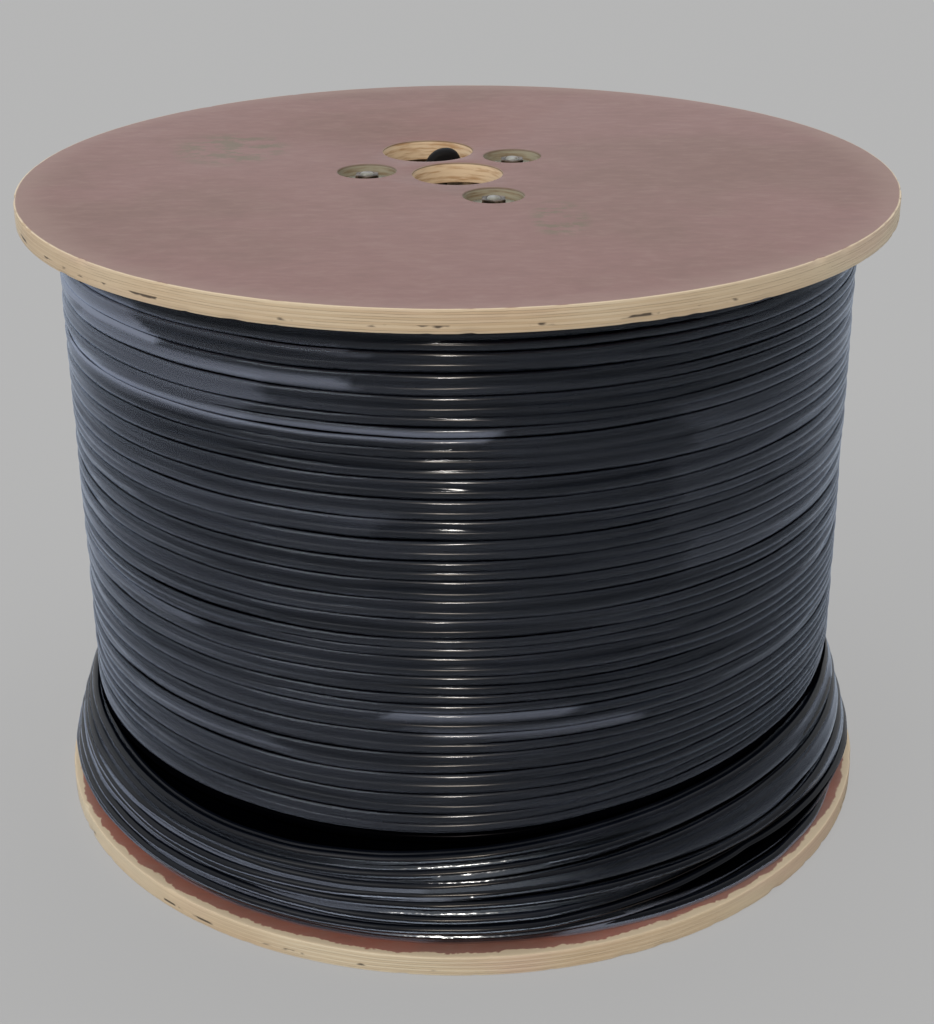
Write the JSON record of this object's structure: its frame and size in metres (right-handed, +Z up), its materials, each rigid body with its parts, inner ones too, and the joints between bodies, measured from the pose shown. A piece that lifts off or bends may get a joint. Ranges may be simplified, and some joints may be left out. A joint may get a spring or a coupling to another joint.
{
  "type": "cable drum",
  "caption": "Plywood cable drum standing on one flange, full of thin black cable under clear stretch film, with an arbor hole, a drive hole and recessed tie rods.",
  "frame": {"origin": "on the drum's axis, at the underside of the lower flange", "axes": "+Z up along the drum's axis; +X to the viewer's right and +Y away from the viewer in the picture; the drive hole lies behind the arbor hole, 17.5 degrees left of +Y"},
  "size_m": [0.4999, 0.5, 0.374],
  "materials": {
    "plywood": "reddish film-faced plywood, pale veneers at the edge",
    "cardboard_tube": "matt spiral-wound board",
    "cable_jacket": "smooth black polyethylene jacket",
    "clear_film": "clear stretch film, several layers",
    "black_tape": "satin black tape",
    "zinc_steel": "zinc plated, dull"
  },
  "bodies": {
    "root": {"top_flange": "plywood", "bottom_flange": "plywood", "barrel": "cardboard_tube", "cable_winding": "cable_jacket", "film_wrap": "clear_film", "cable_inner_end": "cable_jacket", "taped_fold": "black_tape", "tie_rod_1": "zinc_steel", "tie_rod_2": "zinc_steel", "tie_rod_3": "zinc_steel", "rod_washers": "zinc_steel", "rod_nuts": "zinc_steel"}
  },
  "joints": []
}
